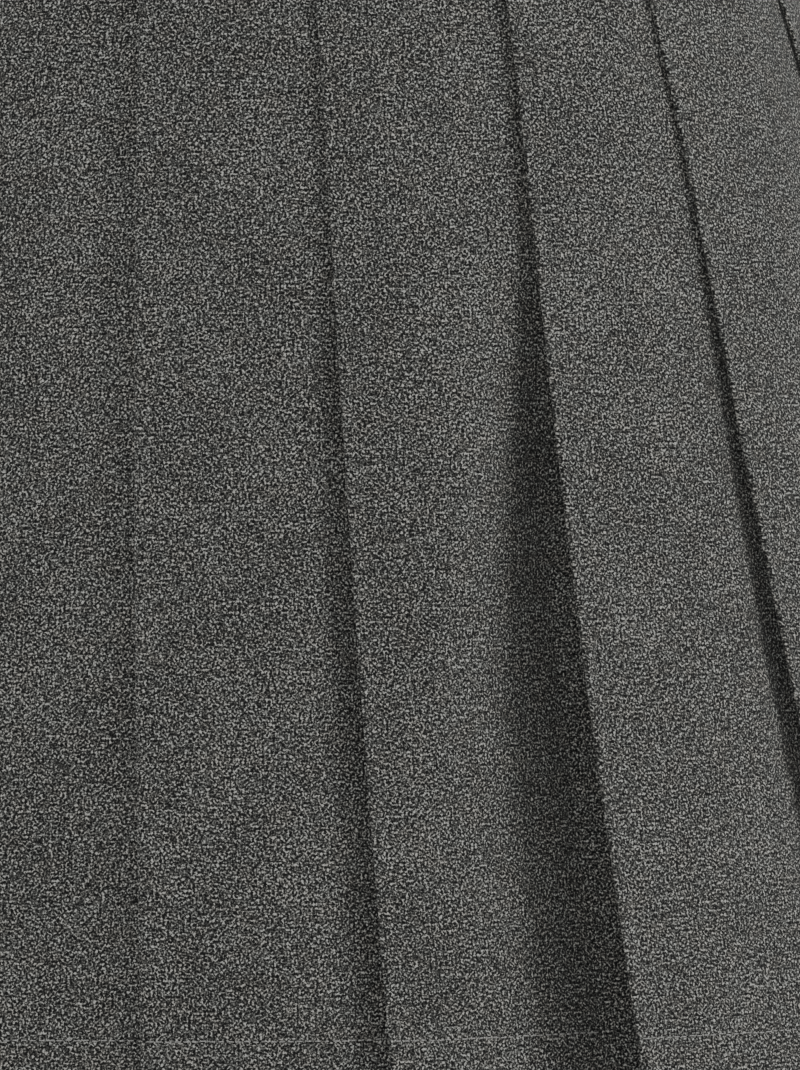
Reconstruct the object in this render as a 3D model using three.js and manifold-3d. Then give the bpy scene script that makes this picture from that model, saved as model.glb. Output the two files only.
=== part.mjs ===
// A knife-pleated mini skirt, standing open as it does when it is worn.
// Millimetres, +Z up, the wearer faces -Y and the wearer's left is +X.
// The origin lies on the skirt's axis, half way up the waistband.

import * as THREE from 'three';
import { mergeVertices } from 'three/addons/utils/BufferGeometryUtils.js';
import Module from 'manifold-3d';

// Heights
const BAND_HEIGHT = 40;
const SKIRT_DROP = 366; // waist seam to hem
const SEAM_GAP = 0.3; // clearance between two pieces that are sewn together
const SEAM_Z = -BAND_HEIGHT / 2;
const CUT_DROPS = [0, 20, 50, 90, 140, 195, 250, 310, 366]; // below the waist seam, where sections are cut

// Half-widths of the oval figure inside the skirt, x side to side and y front to back
const WAIST_SEAM = { x: 157, y: 101 };
const FLARE = { x: 0.16, y: 0.122 }; // gained per millimetre of drop
const HIP_SWELL = { x: 18, y: 17 }; // gained on top of that below the waist seam
const HIP_REACH = 80; // drop over which most of the swell is reached
const OVAL_STEPS = 1440;

// Cloth
const WALL = 1.1;
const LAYER_GAP = 0.5;
const LAYER = WALL + LAYER_GAP; // from one layer's middle to the next
const PLEATS = 16;
const PLEAT_CLOTH = 116; // cloth from one outer fold to the next
const FIRST_FOLD_PHASE = -0.45; // fold 0 lies this many pleats from the centre front
const NOSE = LAYER / 2; // how far a fold's tip stands past its layers
const FACE_STEPS = 5; // flats across a face past its inner fold
const PAST_INNER_FOLD = 3; // where a pleat's face starts to come down past the fold under it
const OPENING_POWER = 1.2; // how the folds open from the waist seam to the hem
const GAPE_EASE = 1.6; // how a fold's gape dies away along the layers that lead from it
const SHARPEST_CORNER = 0.3; // limits how far a wall's corner point is moved out
const LEAST_DEPTH = 4; // of cloth folded under, where a fold has opened out
const RECESS_FROM = 0.25; // how far down the skirt the recesses start, and where they're at their deepest
const RECESS_FULL = 0.65;
const RECESS_WIDENS = 0.8; // how its width grows down the skirt
const RECESS_LEAST_WIDTH = 6;
const RECESS_BEND = 0.12; // how softly a face bends back, as a part of the recess's width

// One row for each pleat's outer fold, counted towards +X from the one left of the centre front.
// lean_top, lean_hem, lean_mid: mm along the oval from even spacing, at the seam, hem and half way.
// gape: how far the fold stands off at the hem.  recess, width: how far the face before the fold
// bends back into the recess beside it, and how far before the fold it starts to, at the hem.
const FOLDS = [
  { fold: 0, lean_top: -5.5, lean_hem: 8.5, lean_mid: -1, gape: 0.6, recess: 1, width: 26 },
  { fold: 1, lean_top: -10, lean_hem: 1.5, lean_mid: -2.5, gape: 3, recess: 4.5, width: 22 },
  { fold: 2, lean_top: -8, lean_hem: -5.5, lean_mid: -5.5, gape: 9, recess: 18, width: 66 },
  { fold: 3, lean_top: -17.5, lean_hem: 0, lean_mid: -8.5, gape: 4, recess: 3, width: 16 },
  { fold: 4, lean_top: -14, lean_hem: -2, lean_mid: -5, gape: 5, recess: 7, width: 26 },
  { fold: 5, lean_top: -9, lean_hem: 1, lean_mid: -3, gape: 5, recess: 0, width: 6 },
  { fold: 6, lean_top: -6, lean_hem: -3, lean_mid: 0, gape: 2, recess: 2, width: 14 },
  { fold: 7, lean_top: -2, lean_hem: -5, lean_mid: 2, gape: 7, recess: 11, width: 40 },
  { fold: 8, lean_top: 1, lean_hem: 3, lean_mid: 1, gape: 4, recess: 5, width: 20 },
  { fold: 9, lean_top: -2, lean_hem: 5, lean_mid: -4, gape: 8, recess: 14, width: 46 },
  { fold: 10, lean_top: 3, lean_hem: -3, lean_mid: -2, gape: 1.5, recess: 1, width: 10 },
  { fold: 11, lean_top: 1, lean_hem: -6, lean_mid: 4, gape: 6, recess: 9, width: 34 },
  { fold: 12, lean_top: -2, lean_hem: 2, lean_mid: -3, gape: 4, recess: 5, width: 22 },
  { fold: 13, lean_top: 2, lean_hem: -4, lean_mid: 3, gape: 6, recess: 8, width: 30 },
  { fold: 14, lean_top: -1, lean_hem: 4, lean_mid: -2, gape: 2, recess: 2, width: 14 },
  { fold: 15, lean_top: -3, lean_hem: 7, lean_mid: -3, gape: 5, recess: 6, width: 26 },
];

// Panels, each from under one fold to under another
const FRONT_FROM = -3;
const ZIP_FOLD = 5; // the front ends and the back starts under this fold
const BACK_TO = FRONT_FROM + PLEATS;
const SEAM_SET = 2; // the side seams lie this far under their fold

// Waistband and zip
const BAND_WALL = 3.2;
const BAND_STEPS = 60;
const BAND_OPENING = 6;
const TAPE_WIDTH = 24;
const TAPE_WALL = 0.9;
const TAPE_CLEARANCE = 0.5;
const TAPE_TOP = BAND_HEIGHT / 2 - 2;
const TAPE_DROP = 140; // its foot, below the waist seam
const TAPE_STEPS = 4;
const SLIDER_Z = 9;
const SLIDER = { width: 4.8, height: 9, back: -0.7, front: 1.65 };
const BRIDGE = { width: 1.4, reach: 3.2, post: 1, hole: 1.5, beam: 0.8 };
const TAB = { width: 4.6, length: 16, wall: 1, bar: 1, eye_width: 2.4, eye_length: 4.5, foot: 3.4 };

const CLOTH = { color: 0x4f4e4b, roughness: 0.92, metalness: 0 };
const TAPE_CLOTH = { color: 0x3a3a39, roughness: 0.9, metalness: 0 };
const ZIP_METAL = { color: 0x8c8c8a, roughness: 0.35, metalness: 0.9 };

// The oval at one height: its length and a way to find a point by distance along it.
function ovalAt(z) {
  const drop = SEAM_Z - z;
  const swell = drop > 0 ? 1 - Math.exp(-drop / HIP_REACH) : 0;
  const x = WAIST_SEAM.x + FLARE.x * drop + HIP_SWELL.x * swell;
  const y = WAIST_SEAM.y + FLARE.y * drop + HIP_SWELL.y * swell;
  const lengths = [0];
  for (let i = 1; i <= OVAL_STEPS; i++) {
    const turn = (2 * Math.PI * (i - 0.5)) / OVAL_STEPS;
    const step = Math.hypot(x * Math.cos(turn), y * Math.sin(turn)) * ((2 * Math.PI) / OVAL_STEPS);
    lengths.push(lengths[i - 1] + step);
  }
  return { x, y, z, drop, lengths, length: lengths[OVAL_STEPS] };
}

// The point that lies s along the oval from the centre front and out from it by the given distance.
function onOval(oval, s, out) {
  const wrapped = ((s % oval.length) + oval.length) % oval.length;
  let low = 0;
  let high = OVAL_STEPS;
  while (high - low > 1) {
    const middle = (low + high) >> 1;
    if (oval.lengths[middle] > wrapped) high = middle;
    else low = middle;
  }
  const part = (wrapped - oval.lengths[low]) / (oval.lengths[high] - oval.lengths[low]);
  const turn = (2 * Math.PI * (low + part)) / OVAL_STEPS;
  const normal = new THREE.Vector2(Math.sin(turn) / oval.x, -Math.cos(turn) / oval.y).normalize();
  return new THREE.Vector2(oval.x * Math.sin(turn), -oval.y * Math.cos(turn)).addScaledVector(normal, out);
}

function rowOf(fold) {
  return FOLDS[((fold % PLEATS) + PLEATS) % PLEATS];
}

// How far down the skirt a section lies: 0 at the waist seam and above, 1 at the hem.
function down(oval) {
  return Math.max(0, oval.drop / SKIRT_DROP);
}

// Where a fold lies along the oval.
function foldPlace(oval, fold) {
  const row = rowOf(fold);
  const w = down(oval);
  const lean = row.lean_top + (row.lean_hem - row.lean_top) * w + row.lean_mid * Math.sin(Math.PI * w);
  return ((fold + FIRST_FOLD_PHASE) * oval.length) / PLEATS + lean;
}

function gapeOf(oval, fold) {
  return rowOf(fold).gape * Math.pow(down(oval), OPENING_POWER);
}

// How deep the recess beside a fold is, and how wide.
function recessOf(oval, fold) {
  return rowOf(fold).recess * THREE.MathUtils.smoothstep(down(oval), RECESS_FROM, RECESS_FULL);
}

function recessWidth(oval, fold) {
  const part = Math.max(0, (down(oval) - RECESS_FROM) / (1 - RECESS_FROM));
  return Math.max(RECESS_LEAST_WIDTH, rowOf(fold).width * Math.pow(part, RECESS_WIDENS));
}

// How far a face has bent back at a distance before the next fold.
function recessFall(oval, fold, before) {
  const bent = (part) => part + Math.hypot(part, RECESS_BEND);
  return (recessOf(oval, fold) * bent(1 - before / recessWidth(oval, fold))) / bent(1);
}

// How deep the cloth is folded back under a fold: what the face before it leaves over is shared
// between the innermost layer and the one that returns from it, out to the fold's tip.
function foldDepth(oval, fold) {
  const spacing = foldPlace(oval, fold) - foldPlace(oval, fold - 1);
  const recess = recessOf(oval, fold);
  const width = recessWidth(oval, fold);
  const left = PLEAT_CLOTH - (spacing - width + Math.hypot(width, recess));
  const rise = recess + gapeOf(oval, fold);
  return Math.max(LEAST_DEPTH, (left * left - rise * rise) / (2 * left));
}

// The outer face of a pleat, at q past its fold: two layers up until it has passed the fold
// underneath, then down to the innermost layer and back into the next fold's recess, with the
// fold's own gape easing out along it.
function faceHeight(oval, fold, q) {
  const spacing = foldPlace(oval, fold + 1) - foldPlace(oval, fold);
  const flat = foldDepth(oval, fold) + PAST_INNER_FOLD;
  const fall = THREE.MathUtils.clamp((q - flat) / (spacing - flat), 0, 1);
  const layers = LAYER * (1 + Math.cos(Math.PI * fall));
  const gape = gapeOf(oval, fold) * Math.pow(Math.max(0, 1 - q / spacing), GAPE_EASE);
  return layers + gape - recessFall(oval, fold + 1, spacing - q);
}

// The layer that returns from the inner fold, at q past the outer fold it leads to.
function returnHeight(oval, fold, q) {
  const recess = recessOf(oval, fold);
  const part = THREE.MathUtils.clamp((q - NOSE) / (foldDepth(oval, fold) - NOSE), 0, 1);
  return LAYER - recess + (gapeOf(oval, fold) + recess) * Math.pow(1 - part, GAPE_EASE);
}

// The layers under a fold: in along the innermost one, round the inner fold, back and out.
function underFold(oval, fold) {
  const start = foldPlace(oval, fold);
  const depth = foldDepth(oval, fold);
  const inner = -recessOf(oval, fold);
  const back = (q) => onOval(oval, start + q, returnHeight(oval, fold, q));
  const nose = LAYER + gapeOf(oval, fold) + NOSE;
  return [
    onOval(oval, start + depth / 2, inner),
    onOval(oval, start + depth - NOSE, inner),
    onOval(oval, start + depth, inner + NOSE),
    back(depth - NOSE),
    back(depth / 2),
    back(NOSE),
    onOval(oval, start, nose),
  ];
}

// A pleat's face, from its fold to where it passes under the next.
function face(oval, fold) {
  const start = foldPlace(oval, fold);
  const spacing = foldPlace(oval, fold + 1) - start;
  const past = foldDepth(oval, fold) + PAST_INNER_FOLD;
  const stations = [NOSE, past / 2];
  for (let i = 0; i <= FACE_STEPS; i++) stations.push(past + ((spacing - past) * i) / FACE_STEPS);
  return stations.map((q) => onOval(oval, start + q, faceHeight(oval, fold, q)));
}

// The middle line of a panel's cloth at one height, from one side seam to the other.
function panelLine(oval, from, to) {
  const line = [onOval(oval, foldPlace(oval, from) + SEAM_SET + SEAM_GAP, -recessOf(oval, from))];
  for (let fold = from; fold < to; fold++) line.push(...underFold(oval, fold), ...face(oval, fold));
  line.push(onOval(oval, foldPlace(oval, to) + SEAM_SET, -recessOf(oval, to)));
  return line;
}

// Moves a line sideways by a distance, keeping the wall's thickness at its corners.
function moved(line, distance) {
  return line.map((point, i) => {
    const before = point.clone().sub(line[Math.max(0, i - 1)]).normalize();
    const after = line[Math.min(line.length - 1, i + 1)].clone().sub(point).normalize();
    if (i === 0) before.copy(after);
    if (i === line.length - 1) after.copy(before);
    const corner = before.clone().add(after).normalize();
    const side = new THREE.Vector2(corner.y, -corner.x);
    return point.clone().addScaledVector(side, distance / Math.max(SHARPEST_CORNER, corner.dot(after)));
  });
}

// A closed wall through middle lines at several heights, all with the same number of points.
function wallThrough(levels, wall) {
  const count = levels[0].line.length;
  const positions = [];
  for (const { line, z } of levels) {
    for (const distance of [wall / 2, -wall / 2]) {
      for (const point of moved(line, distance)) positions.push(point.x, point.y, z);
    }
  }
  const at = (level, side, i) => (2 * level + side) * count + i;
  const faces = [];
  const quad = (a, b, c, d) => faces.push(a, b, c, a, c, d);
  const last = levels.length - 1;
  for (let level = 0; level < last; level++) {
    for (let i = 0; i < count - 1; i++) {
      quad(at(level, 0, i), at(level + 1, 0, i), at(level + 1, 0, i + 1), at(level, 0, i + 1));
      quad(at(level, 1, i), at(level, 1, i + 1), at(level + 1, 1, i + 1), at(level + 1, 1, i));
    }
    quad(at(level, 0, 0), at(level, 1, 0), at(level + 1, 1, 0), at(level + 1, 0, 0));
    const end = count - 1;
    quad(at(level, 0, end), at(level + 1, 0, end), at(level + 1, 1, end), at(level, 1, end));
  }
  for (let i = 0; i < count - 1; i++) {
    quad(at(0, 0, i), at(0, 0, i + 1), at(0, 1, i + 1), at(0, 1, i));
    quad(at(last, 0, i), at(last, 1, i), at(last, 1, i + 1), at(last, 0, i + 1));
  }
  const geometry = new THREE.BufferGeometry();
  geometry.setAttribute('position', new THREE.Float32BufferAttribute(positions, 3));
  geometry.setIndex(faces);
  geometry.computeVertexNormals();
  return geometry;
}

function panel(from, to) {
  const levels = CUT_DROPS.map((drop) => {
    const z = SEAM_Z - drop - (drop === 0 ? SEAM_GAP : 0);
    return { z, line: panelLine(ovalAt(z), from, to) };
  });
  return wallThrough(levels, WALL);
}

// The line of the zip: the side seam under its fold.
function zipPlace(oval) {
  return foldPlace(oval, ZIP_FOLD) + SEAM_SET + SEAM_GAP / 2;
}

function waistband() {
  const levels = [SEAM_Z, BAND_HEIGHT / 2].map((z) => {
    const oval = ovalAt(z);
    const start = zipPlace(oval) + BAND_OPENING / 2;
    const round = oval.length - BAND_OPENING;
    const line = [];
    for (let i = 0; i <= BAND_STEPS; i++) {
      line.push(onOval(oval, start + (round * i) / BAND_STEPS, (BAND_WALL - WALL) / 2));
    }
    return { z, line };
  });
  return wallThrough(levels.reverse(), BAND_WALL);
}

// The closed zip: both tapes and the coil as one strip behind the side seam.
function zipTape() {
  const drops = CUT_DROPS.filter((drop) => drop <= TAPE_DROP);
  const heights = [TAPE_TOP, ...drops.map((drop) => SEAM_Z - drop)];
  const out = -(WALL / 2 + TAPE_CLEARANCE + TAPE_WALL / 2);
  const levels = heights.map((z) => {
    const oval = ovalAt(z);
    const line = [];
    for (let i = 0; i <= TAPE_STEPS; i++) {
      line.push(onOval(oval, zipPlace(oval) + TAPE_WIDTH * (i / TAPE_STEPS - 0.5), out));
    }
    return { z, line };
  });
  return wallThrough(levels, TAPE_WALL);
}

// A group in the zip's own directions: x along the waist, y up the zip and z out from the wearer.
function zipFrame() {
  const middle = ovalAt(SLIDER_Z);
  const above = ovalAt(SLIDER_Z + 1);
  const place = (oval, along) => {
    const point = onOval(oval, zipPlace(oval) + along, 0);
    return new THREE.Vector3(point.x, point.y, oval.z);
  };
  const origin = place(middle, 0);
  const along = place(middle, 1).sub(origin).normalize();
  const up = place(above, 0).sub(origin).normalize();
  const out = along.clone().cross(up).normalize();
  const group = new THREE.Group();
  group.applyMatrix4(new THREE.Matrix4().makeBasis(along, out.clone().cross(along), out));
  group.position.copy(origin);
  return group;
}

function rectangle(left, bottom, right, top) {
  const corners = [[left, bottom], [right, bottom], [right, top], [left, top]];
  return corners.map(([x, y]) => new THREE.Vector2(x, y));
}

const wasm = await Module();
wasm.setup();

function solidOf(geometry) {
  const bare = geometry.clone();
  bare.deleteAttribute('normal');
  bare.deleteAttribute('uv');
  const merged = mergeVertices(bare);
  const vertProperties = new Float32Array(merged.attributes.position.array);
  const triVerts = new Uint32Array(merged.index.array);
  return new wasm.Manifold(new wasm.Mesh({ numProp: 3, vertProperties, triVerts }));
}

function geometryOf(solid) {
  const mesh = solid.getMesh();
  const geometry = new THREE.BufferGeometry();
  geometry.setAttribute('position', new THREE.Float32BufferAttribute(mesh.vertProperties, 3));
  geometry.setIndex(Array.from(mesh.triVerts));
  geometry.computeVertexNormals();
  return geometry;
}

// The slider's body with the bridge that the pull tab hangs from.
function zipSlider() {
  const deep = SLIDER.front - SLIDER.back;
  const body = new THREE.BoxGeometry(SLIDER.width, SLIDER.height, deep);
  body.translate(0, 0, SLIDER.back + deep / 2);
  const { reach, post, hole, beam, width } = BRIDGE;
  const sunk = SLIDER.front - deep / 2;
  const outline = new THREE.Shape(rectangle(-reach, sunk, reach, SLIDER.front + hole + beam));
  const inside = rectangle(post - reach, SLIDER.front, reach - post, SLIDER.front + hole);
  outline.holes.push(new THREE.Path(inside));
  const bridge = new THREE.ExtrudeGeometry(outline, { depth: width, bevelEnabled: false });
  bridge.translate(0, 0, -width / 2);
  // from the outline's plane to up the zip and out from it
  const turned = new THREE.Matrix4().makeBasis(
    new THREE.Vector3(0, 1, 0),
    new THREE.Vector3(0, 0, 1),
    new THREE.Vector3(1, 0, 0),
  );
  bridge.applyMatrix4(turned);
  return geometryOf(solidOf(body).add(solidOf(bridge)));
}

// The pull tab hangs by the bar above its eye, which lies under the bridge.
function pullTab() {
  const half = TAB.width / 2;
  const top = TAB.bar / 2;
  const outline = new THREE.Shape([
    new THREE.Vector2(-half, top),
    new THREE.Vector2(-half, top - TAB.length + TAB.foot / 2),
    new THREE.Vector2(-TAB.foot / 2, top - TAB.length),
    new THREE.Vector2(TAB.foot / 2, top - TAB.length),
    new THREE.Vector2(half, top - TAB.length + TAB.foot / 2),
    new THREE.Vector2(half, top),
  ]);
  const eye = rectangle(-TAB.eye_width / 2, -top - TAB.eye_length, TAB.eye_width / 2, -top);
  outline.holes.push(new THREE.Path(eye));
  const tab = new THREE.ExtrudeGeometry(outline, { depth: TAB.wall, bevelEnabled: false });
  tab.translate(0, 0, SLIDER.front + BRIDGE.hole / 2 - TAB.wall / 2);
  return tab;
}

function named(name, geometry, look) {
  const mesh = new THREE.Mesh(geometry, new THREE.MeshStandardMaterial(look));
  mesh.name = name;
  return mesh;
}

const skirt = new THREE.Group();
skirt.add(named('waistband', waistband(), CLOTH));
skirt.add(named('front_panel', panel(FRONT_FROM, ZIP_FOLD), CLOTH));
skirt.add(named('back_panel', panel(ZIP_FOLD, BACK_TO), CLOTH));
skirt.add(named('zip_tape', zipTape(), TAPE_CLOTH));

const hardware = zipFrame();
hardware.add(named('zip_slider', zipSlider(), ZIP_METAL));
hardware.add(named('zip_pull_tab', pullTab(), ZIP_METAL));
skirt.add(hardware);

export default skirt;
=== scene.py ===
"""A knife-pleated mini skirt of charcoal marl suiting, standing open as it does when worn.

Lengths in the cloth's own sizes are in millimetres and become metres when a mesh is made.
"""

import math

import bpy
import numpy as np
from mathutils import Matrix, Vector


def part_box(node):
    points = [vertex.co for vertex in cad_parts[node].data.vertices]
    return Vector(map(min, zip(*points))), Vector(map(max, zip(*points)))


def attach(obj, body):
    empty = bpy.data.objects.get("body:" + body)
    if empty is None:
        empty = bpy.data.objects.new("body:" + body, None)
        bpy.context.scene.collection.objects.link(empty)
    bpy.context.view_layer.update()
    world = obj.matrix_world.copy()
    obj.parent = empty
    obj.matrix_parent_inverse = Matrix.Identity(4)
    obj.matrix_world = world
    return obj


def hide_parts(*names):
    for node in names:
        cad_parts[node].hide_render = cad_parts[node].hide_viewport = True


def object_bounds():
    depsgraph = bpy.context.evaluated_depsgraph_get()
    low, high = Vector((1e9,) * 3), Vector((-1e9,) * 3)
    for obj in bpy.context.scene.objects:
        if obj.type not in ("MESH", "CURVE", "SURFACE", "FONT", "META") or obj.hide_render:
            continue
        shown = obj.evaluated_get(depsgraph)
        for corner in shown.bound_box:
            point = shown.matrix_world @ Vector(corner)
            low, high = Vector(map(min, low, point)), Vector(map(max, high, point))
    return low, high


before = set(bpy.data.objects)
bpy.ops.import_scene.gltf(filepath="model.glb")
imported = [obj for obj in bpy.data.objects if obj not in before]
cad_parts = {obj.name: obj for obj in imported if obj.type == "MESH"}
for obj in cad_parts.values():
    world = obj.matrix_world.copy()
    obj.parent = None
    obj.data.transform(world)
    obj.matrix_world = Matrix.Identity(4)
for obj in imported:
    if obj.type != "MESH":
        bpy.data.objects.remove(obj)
CAD_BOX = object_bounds()

MM = 0.001

# Heights, from the frame
BAND_LOW, BAND_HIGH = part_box("waistband")
SEAM_Z = BAND_LOW[2] / MM
BAND_TOP = BAND_HIGH[2] / MM
BAND_HEIGHT = BAND_TOP - SEAM_Z
SKIRT_DROP = SEAM_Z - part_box("front_panel")[0][2] / MM

# The oval figure inside the skirt: half-widths side to side and front to back
WAIST_SEAM = (157.0, 101.0)
FLARE = (0.16, 0.122)
HIP_SWELL = (18.0, 17.0)
HIP_REACH = 80.0
OVAL_STEPS = 1440

# How the pleats are folded
PLEATS = 16
PLEAT_CLOTH = 116.0  # flat cloth in one pleat
FIRST_FOLD_PHASE = -0.45  # the first outer fold, in pleats from the centre front
LAYER = 0.66  # from one layer's middle line to the next
PRESSED = 0.9  # how much of that the layers keep where they are sewn into the waistband
PRESSED_DROP = 22.0  # below the waistband they have all of it
PAST_INNER_FOLD = 3.0  # a face is flat this far past the inner fold under it
OPENING_POWER = 1.2  # how a gape grows down the skirt
GAPE_EASE = 1.6  # how soon a gape closes away from its fold
LEAST_DEPTH = 4.0  # the least that a fold goes back

# The recess beside a fold, where the face before it bends back. It begins and is full at shares of the
# way down, widens by a power of the way left, and bends over a share of its width.
RECESS_FROM = 0.25
RECESS_FULL = 0.65
RECESS_WIDENS = 0.8
RECESS_LEAST_WIDTH = 6.0
RECESS_BEND = 0.12

# The pressed lip along a fold's edge, then the trough behind it, in lip widths and in lip heights
LIP_AT_SEAM = 0.5  # how much of its height a lip has at the waist seam
LIP_WIDTH_AT_SEAM = 0.7
LIP_WIDENS = 0.7
LIP_SET = 0.2
LIP_ROUNDING = 0.7
TROUGH_PLACE = 1.9
TROUGH_DEPTH = 0.25

# A slow unevenness round the skirt
SWAY = 0.45
SWAY_DROP = 60.0  # below the waistband it is whole
SWAY_COLUMNS = ("share", "waves", "turn_with_drop", "turn")
SWAY_ROWS = [
    (1.0, 5, 0.012, 0.0),
    (0.7, 9, -0.017, 1.3),
]
SWAYS = [dict(zip(SWAY_COLUMNS, row)) for row in SWAY_ROWS]

# How finely a pleat's line is drawn
INNER_STEPS = 8
NOSE_STEPS = 7
FACE_FINE = 16
FINE_REACH = 12.0
FACE_STEPS = 26

# One row for each outer fold: how far it leans along the oval at the waist seam, at the hem and half way
# down, its gape, its recess and that recess's width, which are the solids' or close to them, then how far
# the fold's edge stands up as a lip and how wide that lip is.
FOLD_COLUMNS = ("lean_top", "lean_hem", "lean_mid", "gape", "recess", "width", "lip", "lip_width")
FOLD_ROWS = [
    (-5.5, 8.5, -1, 0.3, 0.5, 26, 1.7, 4.2),
    (-10, 1.5, -2.5, 2.4, 3.6, 22, 0.8, 2.0),
    (-8, -5.5, -5.5, 8.5, 17, 68, 0.9, 2.0),
    (-17.5, 0, -8.5, 4, 3, 16, 0.8, 1.8),
    (-14, -2, -5, 5, 7, 26, 0.8, 2.0),
    (-9, 1, -3, 5, 0, 6, 0.8, 1.8),
    (-6, -3, 0, 2, 2, 14, 1.0, 2.2),
    (-2, -5, 2, 7, 11, 40, 0.8, 1.8),
    (1, 3, 1, 4, 5, 20, 0.9, 2.0),
    (-2, 5, -4, 8, 14, 46, 0.8, 1.8),
    (3, -3, -2, 1.5, 1, 10, 1.1, 2.4),
    (1, -6, 4, 6, 9, 34, 0.8, 1.8),
    (-2, 2, -3, 4, 5, 22, 0.9, 2.0),
    (2, -4, 3, 6, 8, 30, 0.8, 1.8),
    (-1, 4, -2, 2, 2, 14, 1.0, 2.2),
    (-3, 7, -3, 5, 6, 26, 0.8, 1.8),
]
FOLDS = [dict(zip(FOLD_COLUMNS, row)) for row in FOLD_ROWS]

# Panels and side seams, by the numbers of their outer folds
FRONT_FROM = -3
ZIP_FOLD = 5
BACK_TO = FRONT_FROM + PLEATS
SEAM_SET = 2.0  # the seam past its fold
SEAM_GAP = 0.3

# Cloth and hem
CLOTH_WALL = 0.42
HEM_DEPTH = 27.5
STITCH_LINE = 25.0  # above the hem's edge
STITCH_PITCH = 2.5
STITCH_LENGTH = 1.75
STITCH_THICK = 0.42
STITCH_GROOVE = 0.14
GROOVE_REACH = 0.8
STITCH_FIRST = 1.6  # past a fold
STITCH_LAST = 1.0  # before the next
STITCH_PARTS = (0, 0.2, 0.5, 0.8, 1)
STITCH_ARCH = 0.6  # how far a stitch arches up and its ends sink in, in thread thicknesses
STITCH_SINK = 0.05
STITCH_RISE_SPREAD = 0.09
STITCH_LENGTH_SPREAD = 0.06
STITCH_PITCH_SPREAD = 0.03
FRONT_SEED = 3
BACK_SEED = 4

# The panel's rings: even ones, then finer ones at set drops from the stitch line, then the hem's edge
PAST_SEAM = 3.0  # the cloth goes up into the waistband
UPPER_RINGS = 58
UPPER_TO_STITCH = 9.0
STITCH_RINGS = (-6, -3.6, -2.75, -2.35, -1.2, -0.6, 0, 0.6, 1.2, 2.4)
LOWER_RINGS = 8
LOWER_FROM_STITCH = 5.0
LOWER_TO_EDGE = 1.2
EDGE_STEPS = 5
EDGE_LEAST = 0.02  # how much of its thickness the cloth has at its very edge

# Waistband
BAND_INNER = -0.55
BAND_WALL = 3.2
BAND_OPENING = 6.0
BAND_ROUNDING = 1.4
FOOT_ROUNDING = 0.6  # at the foot, as a share of that
CORNER_STEPS = 5
SIDE_STEPS = 10
BAND_STEPS = 260
BAND_ENDS = (0.62, 0.9)  # how much of its thickness the band has at its last two sections
BAND_PUFF = 0.22
INNER_PUFF = -0.3  # as a share of that, on the inside
BAND_WAVE = 0.18
BAND_WAVE_TURNS = (0.043, 0.019)  # by the distance round
BAND_WAVE_START = 0.9
BAND_CUT_FROM = (900, 700)  # places in the flat cloth where its inner side and its foot are cut

# Zip
TAPE_WIDTH = 24.0
TAPE_WALL = 0.5
TAPE_OUT = -1.45
TAPE_RINGS = 60
TAPE_STEPS = 17
COIL_WIDTH = 4.2
COIL_PITCH = 1.4
COIL_THICK = 0.55
COIL_FROM_FOOT = 6.0
COIL_FROM_TOP = 16.0
COIL_STEPS = 9
COIL_LIFT = 0.25
COIL_ARCH = 1.0
COIL_TWIST = 0.28
METAL_ROUNDING = 0.25

# Thread and coil rods
ROD_SIDES = 6
ROD_END = 0.45  # how thick a rod's ends are, as a share

# The picture and the room
PICTURE_HEIGHT = 305.7  # of the skirt's front that the picture takes in
PICTURE_TOP = 65.0  # below the origin
PICTURE_MIDDLE = 45.7  # to the wearer's left of the centre front
FRONT_PLANE = -140.0
CAMERA_DISTANCE = 1800.0
SENSOR_MM = 36.0
NEAR_CLIP = 0.05
FLOOR_BELOW = 250.0
FLOOR_REACH = 9000.0

# Square lights, in metres and watts
LIGHTS_AIM = (0.0, 0.0, -0.2)
LIGHT_COLUMNS = ("name", "place", "size", "power")
LIGHT_ROWS = [
    ("front", (-0.6, -2.05, 0.75), 0.8, 19),
    ("right", (2.1, -0.75, 0.45), 0.8, 29),
    ("left", (-2.1, -0.4, 0.3), 0.7, 13),
    ("back", (-0.4, 1.9, 0.9), 1.4, 20),
]
LIGHTS = [dict(zip(LIGHT_COLUMNS, row)) for row in LIGHT_ROWS]
AIR_COLOUR = (0.95, 0.97, 1.0)
AIR_STRENGTH = 0.29


# ---------------------------------------------------------------- the skirt's section

def eased(part):
    """A share from 0 to 1 with a soft start and end."""
    part = min(1.0, max(0.0, part))
    return part * part * (3 - 2 * part)


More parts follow.
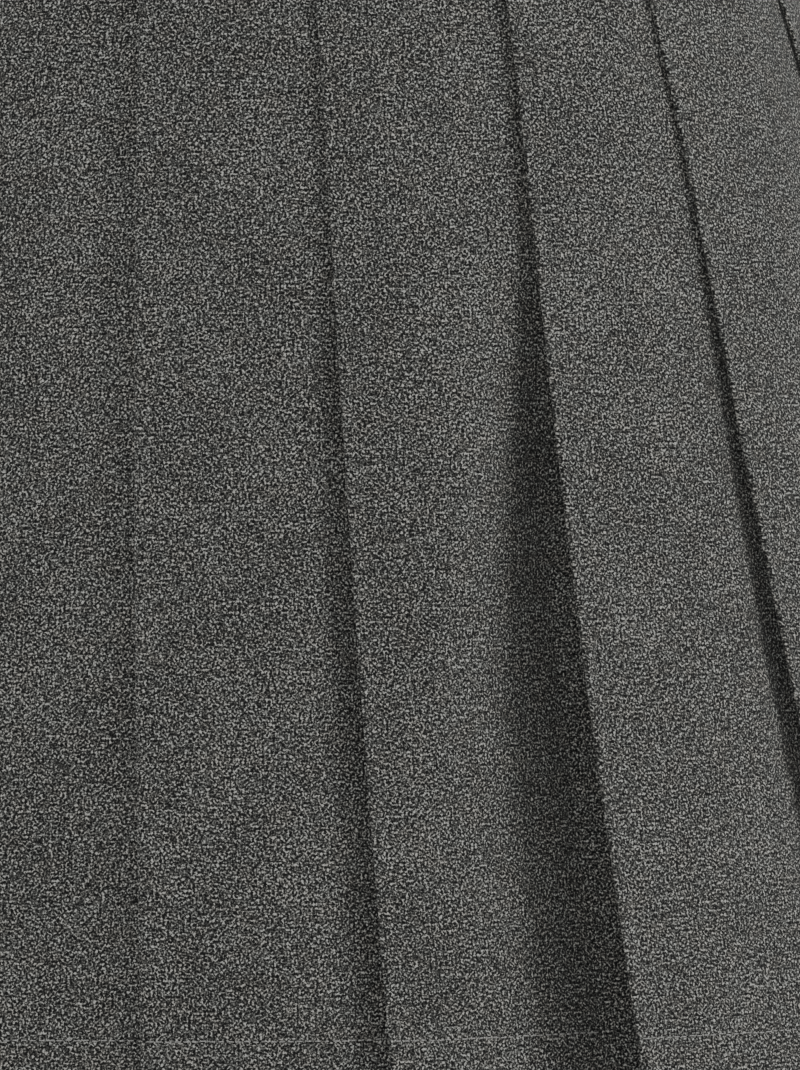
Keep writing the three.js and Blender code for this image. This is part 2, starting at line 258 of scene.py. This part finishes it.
class Oval:
    """The oval at one height, with its length and a lookup from distance along it."""

    def __init__(self, z):
        self.z = z
        self.drop = SEAM_Z - z
        swell = 1 - math.exp(-self.drop / HIP_REACH) if self.drop > 0 else 0.0
        self.a, self.b = (WAIST_SEAM[k] + FLARE[k] * self.drop + HIP_SWELL[k] * swell for k in (0, 1))
        turns = np.arange(OVAL_STEPS + 1) * (2 * math.pi / OVAL_STEPS)
        middles = turns[1:] - math.pi / OVAL_STEPS
        steps = np.hypot(self.a * np.cos(middles), self.b * np.sin(middles)) * (2 * math.pi / OVAL_STEPS)
        self.turns = turns
        self.lengths = np.concatenate([[0.0], np.cumsum(steps)])
        self.length = self.lengths[-1]
        self.down = max(0.0, self.drop / SKIRT_DROP)
        self.opened = self.down ** OPENING_POWER
        self.layer = LAYER * (PRESSED + (1 - PRESSED) * eased(self.drop / PRESSED_DROP))

    def points(self, s, out):
        """Points s along from the centre front and out from the oval, as an array of x, y."""
        s, out = np.broadcast_arrays(np.asarray(s, float), np.asarray(out, float))
        turn = np.interp(np.mod(s, self.length), self.lengths, self.turns)
        normal = np.stack([np.sin(turn) / self.a, -np.cos(turn) / self.b], -1)
        normal /= np.linalg.norm(normal, axis=-1, keepdims=True)
        return np.stack([self.a * np.sin(turn), -self.b * np.cos(turn)], -1) + normal * out[..., None]

    def fold(self, fold):
        """Where an outer fold lies along the oval."""
        row = FOLDS[fold % PLEATS]
        w = self.down
        lean = row["lean_top"] + (row["lean_hem"] - row["lean_top"]) * w
        lean += row["lean_mid"] * math.sin(math.pi * w)
        return (fold + FIRST_FOLD_PHASE) * self.length / PLEATS + lean

    def gape(self, fold):
        """How far a fold's edge stands off the layers under it."""
        return FOLDS[fold % PLEATS]["gape"] * self.opened

    def recess(self, fold):
        """How deep the recess beside a fold is."""
        grown = eased((self.down - RECESS_FROM) / (RECESS_FULL - RECESS_FROM))
        return FOLDS[fold % PLEATS]["recess"] * grown

    def recess_width(self, fold):
        """How wide the recess beside a fold is."""
        part = max(0.0, (self.down - RECESS_FROM) / (1 - RECESS_FROM))
        return max(RECESS_LEAST_WIDTH, FOLDS[fold % PLEATS]["width"] * part**RECESS_WIDENS)

    def recess_fall(self, fold, before):
        """How far a face has bent back at a distance before the next fold."""
        part = 1 - before / self.recess_width(fold)
        bent = (part + np.hypot(part, RECESS_BEND)) / (1 + math.hypot(1, RECESS_BEND))
        return self.recess(fold) * bent

    def depth(self, fold):
        """How deep the cloth is folded back under a fold."""
        width, recess = self.recess_width(fold), self.recess(fold)
        face = self.fold(fold) - self.fold(fold - 1) - width + math.hypot(width, recess)
        left = PLEAT_CLOTH - face
        rise = recess + self.gape(fold)
        return max(LEAST_DEPTH, (left * left - rise * rise) / (2 * left))

    def sway(self, s):
        """A slow unevenness that all the layers share."""
        around = 2 * math.pi * s / self.length
        soft = sum(
            row["share"] * np.sin(row["waves"] * around + row["turn_with_drop"] * self.drop + row["turn"])
            for row in SWAYS
        )
        return SWAY * min(1.0, self.drop / SWAY_DROP) * soft

    def cloth(self, s, out):
        """Points of the cloth, out from the oval as it sways."""
        s = np.asarray(s, float)
        return self.points(s, out + self.sway(s))


def face_height(oval, fold, q):
    """A pleat's outer face at q past its fold."""
    spacing = oval.fold(fold + 1) - oval.fold(fold)
    flat = oval.depth(fold) + PAST_INNER_FOLD
    fall = np.clip((q - flat) / (spacing - flat), 0, 1)
    layers = oval.layer * (1 + np.cos(math.pi * fall))
    height = layers + oval.gape(fold) * np.maximum(0, 1 - q / spacing) ** GAPE_EASE
    height -= oval.recess_fall(fold + 1, spacing - q)
    return height + lip(oval, fold, q) + creases(oval, fold, q)


def lip(oval, fold, q):
    """The pressed edge stands up as a narrow band beside the fold, with a shallow trough behind it."""
    row = FOLDS[fold % PLEATS]
    grown = LIP_AT_SEAM + (1 - LIP_AT_SEAM) * oval.down
    width = row["lip_width"] * (LIP_WIDTH_AT_SEAM + LIP_WIDENS * oval.down)
    rounded = 1 - np.exp(-(((q + LIP_SET) / LIP_ROUNDING) ** 2))
    band = np.exp(-((q / width) ** 2))
    trough = np.exp(-(((q - TROUGH_PLACE * width) / width) ** 2))
    return row["lip"] * grown * (rounded * band - TROUGH_DEPTH * trough)


# Soft creases on the faces: where each starts (mm past the fold, mm of drop), where it ends, how far
# it stands up (below 0: sinks) and how wide it is.
CREASE_COLUMNS = ("fold", "q1", "drop1", "q2", "drop2", "up", "width")
CREASE_ROWS = [
    (0, 3, 43, 48, 58, 1.20, 3.0),
    (0, 2, 50, 44, 66, -0.80, 3.5),
    (0, 30, 210, 58, 228, 0.22, 5.0),
    (1, 10, 55, 48, 66, 0.25, 4.0),
    (1, 6, 132, 52, 150, -0.22, 5.0),
    (1, 42, 190, 54, 330, -0.55, 6.0),
    (2, 8, 70, 50, 88, 0.25, 4.5),
    (2, 20, 240, 66, 262, -0.25, 6.0),
    (3, 10, 120, 50, 138, 0.25, 5.0),
    (4, 8, 45, 42, 66, 0.45, 4.5),
    (4, 12, 200, 60, 226, -0.25, 6.0),
    (6, 6, 48, 44, 68, 0.50, 4.5),
    (7, 10, 150, 54, 172, -0.25, 5.0),
    (8, 4, 42, 46, 60, 0.40, 4.0),
    (9, 14, 230, 60, 250, 0.25, 5.5),
    (11, 6, 50, 44, 72, 0.45, 4.5),
    (12, 10, 180, 56, 200, -0.25, 5.5),
    (14, 4, 44, 46, 64, 0.50, 4.5),
    (15, 8, 60, 50, 76, 0.30, 4.5),
]
CREASES = [dict(zip(CREASE_COLUMNS, row)) for row in CREASE_ROWS]
CREASE_FADE = 0.06  # the last of a crease's length, where it fades no further


def creases(oval, fold, q):
    """How far a face stands up at q past its fold, from all the creases on it."""
    height = np.zeros_like(q)
    for row in CREASES:
        if row["fold"] != fold % PLEATS:
            continue
        along = np.array([row["q2"] - row["q1"], row["drop2"] - row["drop1"]], float)
        length = np.linalg.norm(along)
        along /= length
        dq, dd = q - row["q1"], oval.drop - row["drop1"]
        part = np.clip((dq * along[0] + dd * along[1]) / length, 0, 1)
        off_q, off_d = dq - part * length * along[0], dd - part * length * along[1]
        ends = np.sin(math.pi * np.clip(part, CREASE_FADE, 1 - CREASE_FADE))
        height += row["up"] * ends * np.exp(-(off_q**2 + off_d**2) / row["width"] ** 2)
    return height


def return_height(oval, fold, q):
    """The layer that goes back under a fold, at q past it."""
    nose = oval.layer / 2
    recess = oval.recess(fold)
    part = np.clip((q - nose) / (oval.depth(fold) - nose), 0, 1)
    return oval.layer - recess + (oval.gape(fold) + recess) * (1 - part) ** GAPE_EASE


def pleat_line(oval, fold):
    """The cloth's middle line from under a fold, round it and over its face.

    Gives each point's distance along the oval and out from it, and which point is the fold's tip.
    """
    start, depth = oval.fold(fold), oval.depth(fold)
    spacing = oval.fold(fold + 1) - start
    nose = oval.layer / 2
    inner = np.linspace(depth / INNER_STEPS, depth - nose, INNER_STEPS)
    turn = np.linspace(-math.pi / 2, math.pi / 2, NOSE_STEPS + 2)[1:-1]
    back = np.linspace(depth - nose, nose, INNER_STEPS + 2)
    fine = np.linspace(nose, FINE_REACH, FACE_FINE + 1)[:-1]
    rest = np.linspace(FINE_REACH, spacing, FACE_STEPS)
    q = np.concatenate([
        inner,
        depth - nose + nose * np.cos(turn),
        back,
        nose - nose * np.cos(turn),
        fine,
        rest,
    ])
    lift = return_height(oval, fold, back)
    edge_low, edge_high = lift[-1], face_height(oval, fold, np.array([nose]))[0]
    out = np.concatenate([
        np.full_like(inner, -oval.recess(fold)),
        nose + nose * np.sin(turn) - oval.recess(fold),
        lift,
        (edge_low + edge_high) / 2 + (edge_high - edge_low) / 2 * np.sin(turn),
        face_height(oval, fold, fine),
        face_height(oval, fold, rest),
    ])
    tip = len(inner) + len(turn) + len(back) + len(turn) // 2
    return start + q, out, tip


def panel_line(oval, first, last):
    """Middle line of a panel at one height and each point's place in the flat cloth."""
    all_s = [np.array([oval.fold(first) + SEAM_SET + SEAM_GAP])]
    all_out = [np.array([-oval.recess(first)])]
    tips = []
    count = 1
    for fold in range(first, last):
        s, out, tip = pleat_line(oval, fold)
        tips.append(count + tip)
        count += len(s)
        all_s.append(s)
        all_out.append(out)
    all_s.append(np.array([oval.fold(last) + SEAM_SET]))
    all_out.append(np.array([-oval.recess(last)]))
    line = oval.cloth(np.concatenate(all_s), np.concatenate(all_out))
    along = np.concatenate([[0.0], np.cumsum(np.linalg.norm(np.diff(line, axis=0), axis=1))])
    flat = np.array([(first + k) * PLEAT_CLOTH for k in range(len(tips))])
    in_cloth = np.interp(along, along[tips], flat)
    before, after = along < along[tips[0]], along > along[tips[-1]]
    in_cloth[before] = flat[0] + along[before] - along[tips[0]]
    in_cloth[after] = flat[-1] + along[after] - along[tips[-1]]
    return line, in_cloth


def sideways(line):
    """Unit directions out of a middle line, lengthened at corners so that a wall keeps its thickness."""
    step = np.diff(line, axis=0)
    step /= np.maximum(np.linalg.norm(step, axis=1, keepdims=True), 1e-9)
    before = np.vstack([step[:1], step])
    after = np.vstack([step, step[-1:]])
    corner = before + after
    corner /= np.maximum(np.linalg.norm(corner, axis=1, keepdims=True), 1e-9)
    lengthen = 1 / np.maximum(0.5, (corner * after).sum(1))
    return np.stack([corner[:, 1], -corner[:, 0]], -1) * lengthen[:, None]


# ---------------------------------------------------------------- meshes

def new_object(name, verts, faces, uvs=None, smooth=True):
    """A mesh object from points in millimetres; uvs holds one place in the cloth for each point."""
    mesh = bpy.data.meshes.new(name)
    mesh.from_pydata([tuple(v) for v in np.asarray(verts, float) * MM], [], [tuple(f) for f in faces])
    if uvs is not None:
        layer = mesh.uv_layers.new(name="cloth")
        loops = np.empty(len(mesh.loops), dtype=np.int32)
        mesh.loops.foreach_get("vertex_index", loops)
        layer.data.foreach_set("uv", (np.asarray(uvs, float)[loops] * MM).ravel())
    mesh.polygons.foreach_set("use_smooth", [smooth] * len(mesh.polygons))
    mesh.update()
    obj = bpy.data.objects.new(name, mesh)
    bpy.context.scene.collection.objects.link(obj)
    return obj


def sheet_faces(levels, count):
    """Faces of a closed wall whose points run level by level, outer side then inner side."""
    def at(level, side, i):
        return (2 * level + side) * count + i

    end = count - 1
    foot = levels - 1
    here = np.arange(end)
    then = here + 1
    faces = []
    for level in range(foot):
        below = level + 1
        faces.append(np.stack([
            at(level, 0, here), at(below, 0, here), at(below, 0, then), at(level, 0, then),
        ], -1))
        faces.append(np.stack([
            at(level, 1, here), at(level, 1, then), at(below, 1, then), at(below, 1, here),
        ], -1))
        faces.append(np.array([
            [at(level, 0, 0), at(level, 1, 0), at(below, 1, 0), at(below, 0, 0)],
            [at(level, 0, end), at(below, 0, end), at(below, 1, end), at(level, 1, end)],
        ]))
    faces.append(np.stack([at(0, 0, here), at(0, 0, then), at(0, 1, then), at(0, 1, here)], -1))
    faces.append(np.stack([at(foot, 0, here), at(foot, 1, here), at(foot, 1, then), at(foot, 0, then)], -1))
    return np.vstack(faces)


def panel_drops():
    """How far below the waist seam each of the panel's rings lies."""
    stitch = SKIRT_DROP - STITCH_LINE
    upper = list(np.linspace(0, stitch - UPPER_TO_STITCH, UPPER_RINGS))
    near_stitch = [stitch + drop for drop in STITCH_RINGS]
    lower = list(np.linspace(stitch + LOWER_FROM_STITCH, SKIRT_DROP - LOWER_TO_EDGE, LOWER_RINGS))
    turns = np.linspace(0, math.pi / 2, EDGE_STEPS)
    edge = [SKIRT_DROP - CLOTH_WALL * (1 - math.sin(turn)) for turn in turns]
    return [-PAST_SEAM] + upper + near_stitch + lower + edge


def wall_sides(drop):
    """How far the cloth's outer and inner faces lie from its middle line.

    The hem is double, its stitches pull a groove in it, and its edge is round.
    """
    outer = CLOTH_WALL / 2
    inner = -CLOTH_WALL / 2
    stitch = SKIRT_DROP - STITCH_LINE
    if drop > SKIRT_DROP - HEM_DEPTH:
        inner -= CLOTH_WALL
    outer -= STITCH_GROOVE * math.exp(-(((drop - stitch) / GROOVE_REACH) ** 2))
    if drop > SKIRT_DROP - CLOTH_WALL:
        near = 1 - (SKIRT_DROP - drop) / CLOTH_WALL
        part = max(EDGE_LEAST, math.sqrt(max(0.0, 1 - near * near)))
        middle, half = (outer + inner) / 2, (outer - inner) / 2
        outer, inner = middle + half * part, middle - half * part
    return outer, inner


def panel(name, first, last):
    """The pleated cloth from one seam to the next, as a closed wall."""
    drops = panel_drops()
    verts, uvs = [], []
    for drop in drops:
        oval = Oval(SEAM_Z - drop)
        line, in_cloth = panel_line(oval, first, last)
        side = sideways(line)
        for offset in wall_sides(drop):
            ring = line + side * offset
            verts.append(np.column_stack([ring, np.full(len(ring), SEAM_Z - drop)]))
            uvs.append(np.column_stack([in_cloth, np.full(len(ring), -drop)]))
    count = len(verts[0])
    return new_object(name, np.vstack(verts), sheet_faces(len(drops), count), np.vstack(uvs))


def face_point(oval, fold, q, lift):
    """A point lift out from a pleat's face at q past its fold."""
    s = np.array([oval.fold(fold) + q])
    height = face_height(oval, fold, np.array([q])) + lift
    return np.append(oval.cloth(s, height)[0], oval.z)


def rod(points, radius):
    """Points and faces of a closed rod with rounded ends along a path."""
    points = np.asarray(points, float)
    tangent = np.gradient(points, axis=0)
    tangent /= np.linalg.norm(tangent, axis=1, keepdims=True)
    verts, faces = [], []
    for k, (point, along) in enumerate(zip(points, tangent)):
        across = np.cross(along, (0.0, 0.0, 1.0))
        across /= np.linalg.norm(across)
        normal = np.cross(across, along)
        thick = radius * (ROD_END if k in (0, len(points) - 1) else 1.0)
        for j in range(ROD_SIDES):
            turn = 2 * math.pi * j / ROD_SIDES
            verts.append(point + thick * (across * math.cos(turn) + normal * math.sin(turn)))
    for k in range(len(points) - 1):
        for j in range(ROD_SIDES):
            a, b = k * ROD_SIDES + j, k * ROD_SIDES + (j + 1) % ROD_SIDES
            faces.append((a, a + ROD_SIDES, b + ROD_SIDES, b))
    faces.append(tuple(range(ROD_SIDES)))
    last = (len(points) - 1) * ROD_SIDES
    faces.append(tuple(range(last + ROD_SIDES - 1, last - 1, -1)))
    return verts, faces


def joined(name, parts):
    """One object from several lists of points and faces."""
    verts, faces = [], []
    for part_verts, part_faces in parts:
        base = len(verts)
        verts.extend(part_verts)
        faces.extend(tuple(base + i for i in face) for face in part_faces)
    return new_object(name, verts, faces)


def hem_stitches(name, first, last, seed):
    """Machine stitches all along the panel's hem, a thread's thickness proud and a little uneven."""
    rng = np.random.default_rng(seed)
    oval = Oval(SEAM_Z - SKIRT_DROP + STITCH_LINE)
    parts = []
    for fold in range(first, last):
        spacing = oval.fold(fold + 1) - oval.fold(fold)
        q = STITCH_FIRST
        while q + STITCH_LENGTH < spacing - STITCH_LAST:
            ring = Oval(oval.z + rng.normal(0, STITCH_RISE_SPREAD))
            length = STITCH_LENGTH * (1 + rng.normal(0, STITCH_LENGTH_SPREAD))
            path = []
            for part in STITCH_PARTS:
                arch = STITCH_THICK * (STITCH_ARCH * math.sin(math.pi * part) - STITCH_SINK)
                lift = CLOTH_WALL / 2 - STITCH_GROOVE + arch
                path.append(face_point(ring, fold, q + length * part, lift))
            parts.append(rod(path, STITCH_THICK / 2))
            q += STITCH_PITCH * (1 + rng.normal(0, STITCH_PITCH_SPREAD))
    return joined(name, parts)


# ---------------------------------------------------------------- waistband and zip

def zip_place(oval):
    """Where the zip's middle lies along the oval."""
    return oval.fold(ZIP_FOLD) + SEAM_SET + SEAM_GAP / 2


def band_profile():
    """The band's closed outline, rounded at both edges: height above its foot, out from its inner face."""
    top, foot = BAND_ROUNDING, BAND_ROUNDING * FOOT_ROUNDING
    outline = []
    for centre_up, centre_out, radius, turn_from in (
        (foot, BAND_WALL - foot, foot, -90),
        (BAND_HEIGHT - top, BAND_WALL - top, top, 0),
        (BAND_HEIGHT - top, top, top, 90),
        (foot, foot, foot, 180),
    ):
        for turn in np.radians(np.linspace(turn_from, turn_from + 90, CORNER_STEPS)):
            outline.append((centre_up + radius * math.sin(turn), centre_out + radius * math.cos(turn)))
    filled = []
    for k, (up, out) in enumerate(outline):
        filled.append((up, out))
        next_up, next_out = outline[(k + 1) % len(outline)]
        if abs(next_up - up) > BAND_ROUNDING:
            for part in np.linspace(0, 1, SIDE_STEPS)[1:-1]:
                filled.append((up + (next_up - up) * part, out + (next_out - out) * part))
    return np.array(filled)


def waistband():
    """The band from one side of the zip all the way round to the other."""
    outline = band_profile()
    middle = BAND_WALL / 2
    slow, slower = BAND_WAVE_TURNS
    inner_cut, foot_cut = BAND_CUT_FROM
    verts, uvs = [], []
    ovals = [Oval(SEAM_Z + up) for up in outline[:, 0]]
    for i in range(BAND_STEPS + 1):
        near_end = min(i, BAND_STEPS - i)
        thick = BAND_ENDS[near_end] if near_end < len(BAND_ENDS) else 1.0
        for (up, out), oval in zip(outline, ovals):
            outside = out > middle
            start = zip_place(oval) + BAND_OPENING / 2
            s = start + (oval.length - BAND_OPENING) * i / BAND_STEPS
            mid_height = math.sin(math.pi * up / BAND_HEIGHT)
            puff = BAND_PUFF * mid_height * (1 if outside else INNER_PUFF)
            wave = BAND_WAVE * math.sin(slow * s + BAND_WAVE_START) * math.sin(slower * s) * mid_height
            x, y = oval.points(s, BAND_INNER + middle + (out - middle) * thick + puff + wave)
            verts.append((x, y, oval.z))
            uvs.append((s if outside else s + inner_cut, up + foot_cut))
    count = len(outline)
    faces = []
    for i in range(BAND_STEPS):
        for k in range(count):
            a, b = i * count + k, i * count + (k + 1) % count
            faces.append((a, a + count, b + count, b))
    faces.append(tuple(range(count)))
    faces.append(tuple(reversed(range(BAND_STEPS * count, (BAND_STEPS + 1) * count))))
    return new_object("waistband_cloth", verts, faces, uvs)


def zip_tape():
    """The zip's two tapes, closed, as one wall behind the seam."""
    low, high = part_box("zip_tape")
    heights = np.linspace(high[2] / MM, low[2] / MM, TAPE_RINGS)
    across = np.linspace(-TAPE_WIDTH / 2, TAPE_WIDTH / 2, TAPE_STEPS)
    verts, uvs = [], []
    for z in heights:
        oval = Oval(z)
        line = oval.cloth(zip_place(oval) + across, TAPE_OUT)
        side = sideways(line)
        for offset in (TAPE_WALL / 2, -TAPE_WALL / 2):
            ring = line + side * offset
            verts.append(np.column_stack([ring, np.full(len(ring), z)]))
            uvs.append(np.column_stack([across, np.full(len(ring), z)]))
    faces = sheet_faces(len(heights), len(across))
    return new_object("zip_tape_cloth", np.vstack(verts), faces, np.vstack(uvs))


def zip_coil():
    """The closed coil: loops that cross from tape to tape, one after another."""
    low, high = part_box("zip_tape")
    parts = []
    z = low[2] / MM + COIL_FROM_FOOT
    side = 1
    while z < high[2] / MM - COIL_FROM_TOP:
        path = []
        for part in np.linspace(0, 1, COIL_STEPS):
            turn = math.pi * part
            oval = Oval(z + COIL_TWIST * math.sin(2 * turn))
            s = zip_place(oval) + side * COIL_WIDTH / 2 * math.cos(turn)
            out = TAPE_OUT + TAPE_WALL / 2 + COIL_LIFT + COIL_ARCH * math.sin(turn)
            path.append(np.append(oval.cloth(np.array([s]), out)[0], oval.z))
        parts.append(rod(path, COIL_THICK / 2))
        z += COIL_PITCH / 2
        side = -side
    return joined("zip_coil", parts)


# ---------------------------------------------------------------- materials

class Nodes:
    """Adds nodes to a material and links them."""

    def __init__(self, name):
        self.material = bpy.data.materials.new(name)
        self.material.use_nodes = True
        self.tree = self.material.node_tree
        self.shader = self.tree.nodes["Principled BSDF"]

    def link(self, value, socket):
        if isinstance(value, bpy.types.NodeSocket):
            self.tree.links.new(value, socket)
        else:
            socket.default_value = value

    def multiply_add(self, a, b, c):
        node = self.tree.nodes.new("ShaderNodeMath")
        node.operation = "MULTIPLY_ADD"
        for value, socket in zip((a, b, c), node.inputs):
            self.link(value, socket)
        return node.outputs[0]

    def scaled(self, vector, scale):
        mapping = self.tree.nodes.new("ShaderNodeMapping")
        mapping.inputs["Scale"].default_value = scale
        self.tree.links.new(vector, mapping.inputs[0])
        return mapping.outputs[0]

    def on_cloth(self, across, along):
        """The cloth's own coordinates, in units of the given number of metres across and along."""
        coordinates = self.tree.nodes.new("ShaderNodeUVMap")
        coordinates.uv_map = "cloth"
        return self.scaled(coordinates.outputs[0], (1 / across, 1 / along, 1))

    def on_object(self, scale):
        """The object's coordinates in metres, scaled."""
        coordinates = self.tree.nodes.new("ShaderNodeTexCoord")
        return self.scaled(coordinates.outputs["Object"], scale)

    def noise(self, vector, detail=2.0, roughness=0.5, distortion=0.0):
        node = self.tree.nodes.new("ShaderNodeTexNoise")
        node.inputs["Scale"].default_value = 1.0
        node.inputs["Detail"].default_value = detail
        node.inputs["Roughness"].default_value = roughness
        node.inputs["Distortion"].default_value = distortion
        self.link(vector, node.inputs["Vector"])
        return node.outputs[0]

    def ramp(self, factor, stops):
        node = self.tree.nodes.new("ShaderNodeValToRGB")
        elements = node.color_ramp.elements
        while len(elements) < len(stops):
            elements.new(0.5)
        for element, (position, colour) in zip(elements, stops):
            element.position = position
            element.color = (*colour, 1)
        self.link(factor, node.inputs[0])
        return node.outputs[0]

    def multiplied(self, a, b):
        """One colour times another."""
        node = self.tree.nodes.new("ShaderNodeMix")
        node.data_type = "RGBA"
        node.blend_type = "MULTIPLY"
        node.inputs["Factor"].default_value = 1.0
        self.link(a, node.inputs[6])
        self.link(b, node.inputs[7])
        return node.outputs[2]

    def bump(self, height, distance, strength):
        node = self.tree.nodes.new("ShaderNodeBump")
        node.inputs["Distance"].default_value = distance
        node.inputs["Strength"].default_value = strength
        self.link(height, node.inputs["Height"])
        self.link(node.outputs[0], self.shader.inputs["Normal"])

    def set(self, **values):
        """Shader inputs by name, such as base_color."""
        for name, value in values.items():
            if isinstance(value, tuple):
                value = (*value, 1)
            self.link(value, self.shader.inputs[name.replace("_", " ").title().replace("Ior", "IOR")])


# The marl's noises: their grain's size across and along the cloth in metres, and their share of the mix
MARL_COLUMNS = ("across", "along", "detail", "roughness", "distortion", "share")
MARL_ROWS = [
    (0.00062, 0.00065, 1.0, 0.45, 0.5, 0.82),  # light and dark yarns
    (0.0017, 0.0018, 1.0, 0.50, 0.0, 0.06),  # clumps of them
    (0.00045, 0.005, 1.0, 0.50, 0.0, 0.06),  # warp
    (0.006, 0.00042, 1.0, 0.50, 0.0, 0.06),  # weft
    (0.020, 0.0010, 2.0, 0.50, 0.0, 0.05),  # slubs
    (0.028, 0.034, 2.0, 0.50, 0.0, 0.04),  # soft patches
]
MARL = [dict(zip(MARL_COLUMNS, row)) for row in MARL_ROWS]
MARL_MIDDLE = 0.5
MARL_COLOURS = [
    (0.35, (0.0015, 0.0015, 0.0015)),
    (0.43, (0.0080, 0.0082, 0.0076)),
    (0.50, (0.0430, 0.0430, 0.0398)),
    (0.57, (0.1420, 0.1415, 0.1310)),
    (0.65, (0.4500, 0.4480, 0.4170)),
]
TINT_GRAIN = (0.009, 0.007)
TINTS = [(0.40, (0.985, 1.0, 1.01)), (0.52, (1, 1, 1)), (0.66, (1.015, 0.995, 0.98))]
MARL_BUMP = (0.0004, 0.7)  # metres, strength

WEAVE_SHADES = ((0.35, 0.6), (0.65, 1.4))  # where in the noise, and how much of the colour
WEAVE_BUMP = 0.4
BRUSHED_SCALE = (900, 900, 2500)
BRUSHED_COLOURS = [(0.3, (0.22, 0.22, 0.215)), (0.7, (0.36, 0.36, 0.355))]
BRUSHED_ROUGHNESS = (0.22, 0.25)  # the least, and how much the noise adds
BRUSHED_BUMP = (0.00005, 0.2)


def suiting(name):
    """Charcoal marl: light and dark yarns mixed in speckles, with a faint weave, slubs and soft patches."""
    n = Nodes(name)
    yarn = MARL_MIDDLE * (1 - sum(row["share"] for row in MARL))
    for row in MARL:
        place = n.on_cloth(row["across"], row["along"])
        noise = n.noise(place, row["detail"], row["roughness"], row["distortion"])
        yarn = n.multiply_add(noise, row["share"], yarn)
    tint = n.ramp(n.noise(n.on_cloth(*TINT_GRAIN), 1.0), TINTS)
    n.set(base_color=n.multiplied(n.ramp(yarn, MARL_COLOURS), tint), roughness=0.92)
    n.set(specular_ior_level=0.25, sheen_weight=0.10, sheen_roughness=0.5)
    n.bump(yarn, *MARL_BUMP)
    return n.material


def plain_weave(name, colour, step):
    """A tape or thread: one colour with a small woven unevenness, step metres from yarn to yarn."""
    n = Nodes(name)
    grain = n.noise(n.on_object((1 / step,) * 3))
    shades = [(place, tuple(share * c for c in colour)) for place, share in WEAVE_SHADES]
    n.set(base_color=n.ramp(grain, shades), roughness=0.85)
    n.bump(grain, step / 3, WEAVE_BUMP)
    return n.material


def satin_metal(name):
    """Brushed grey metal."""
    n = Nodes(name)
    brushed = n.noise(n.on_object(BRUSHED_SCALE))
    least, added = BRUSHED_ROUGHNESS
    n.set(base_color=n.ramp(brushed, BRUSHED_COLOURS), metallic=1.0)
    n.set(roughness=n.multiply_add(brushed, added, least))
    n.bump(brushed, *BRUSHED_BUMP)
    return n.material


def plain(name, colour, roughness):
    n = Nodes(name)
    n.set(base_color=colour, roughness=roughness)
    return n.material


# ---------------------------------------------------------------- stage, light and camera

def add_stage():
    """A pale floor below the skirt."""
    floor_z = CAD_BOX[0][2] / MM - FLOOR_BELOW
    corners = [(-1, -1), (1, -1), (1, 1), (-1, 1)]
    verts = [(x * FLOOR_REACH, y * FLOOR_REACH, floor_z) for x, y in corners]
    stage = new_object("stage", verts, [(0, 1, 2, 3)])
    stage.data.materials.append(plain("stage_paper", (0.8, 0.79, 0.77), 0.9))


def add_lights():
    for row in LIGHTS:
        data = bpy.data.lights.new(row["name"], "AREA")
        data.shape = "SQUARE"
        data.size = row["size"]
        data.energy = row["power"]
        light = bpy.data.objects.new(row["name"], data)
        light.location = row["place"]
        towards = Vector(LIGHTS_AIM) - Vector(row["place"])
        light.rotation_euler = towards.to_track_quat("-Z", "Y").to_euler()
        bpy.context.scene.collection.objects.link(light)
    world = bpy.data.worlds.new("studio")
    world.use_nodes = True
    background = world.node_tree.nodes["Background"]
    background.inputs["Color"].default_value = (*AIR_COLOUR, 1)
    background.inputs["Strength"].default_value = AIR_STRENGTH
    bpy.context.scene.world = world


def add_camera():
    """A long lens straight in front, on the stretch of the skirt that the picture takes in."""
    data = bpy.data.cameras.new("camera")
    data.sensor_fit = "VERTICAL"
    data.sensor_height = SENSOR_MM
    data.lens = SENSOR_MM * CAMERA_DISTANCE / PICTURE_HEIGHT
    data.clip_start = NEAR_CLIP
    camera = bpy.data.objects.new("camera", data)
    height = -(PICTURE_TOP + PICTURE_HEIGHT / 2)
    camera.location = Vector((PICTURE_MIDDLE, FRONT_PLANE - CAMERA_DISTANCE, height)) * MM
    camera.rotation_euler = (math.pi / 2, 0, 0)
    bpy.context.scene.collection.objects.link(camera)
    bpy.context.scene.camera = camera


# ---------------------------------------------------------------- the skirt

add_camera()
add_stage()
add_lights()

CLOTH = suiting("suiting")
THREAD = plain_weave("stitch_thread", (0.30, 0.298, 0.285), 0.0005)
TAPE = plain_weave("zip_tape", (0.042, 0.042, 0.041), 0.0006)
COIL = plain("zip_coil", (0.06, 0.06, 0.06), 0.4)
METAL = satin_metal("zip_metal")


def finish_piece(piece, material):
    piece.data.materials.append(material)
    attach(piece, "skirt")
    return piece


front_stitches = hem_stitches("front_hem_stitches", FRONT_FROM, ZIP_FOLD, FRONT_SEED)
back_stitches = hem_stitches("back_hem_stitches", ZIP_FOLD, BACK_TO, BACK_SEED)

for node, first, last, stitches in (
    ("front_panel", FRONT_FROM, ZIP_FOLD, front_stitches),
    ("back_panel", ZIP_FOLD, BACK_TO, back_stitches),
):
    finish_piece(stitches, THREAD)
    cloth = finish_piece(panel(node + "_cloth", first, last), CLOTH)
    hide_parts(node)

band = finish_piece(waistband(), CLOTH)
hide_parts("waistband")

tape = finish_piece(zip_tape(), TAPE)
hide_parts("zip_tape")
coil = finish_piece(zip_coil(), COIL)

for node in ("zip_slider", "zip_pull_tab"):
    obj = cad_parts[node]
    for slot in obj.material_slots:
        slot.material = METAL
    bevel = obj.modifiers.new("softened", "BEVEL")
    bevel.width = METAL_ROUNDING * MM
    bevel.segments = 2
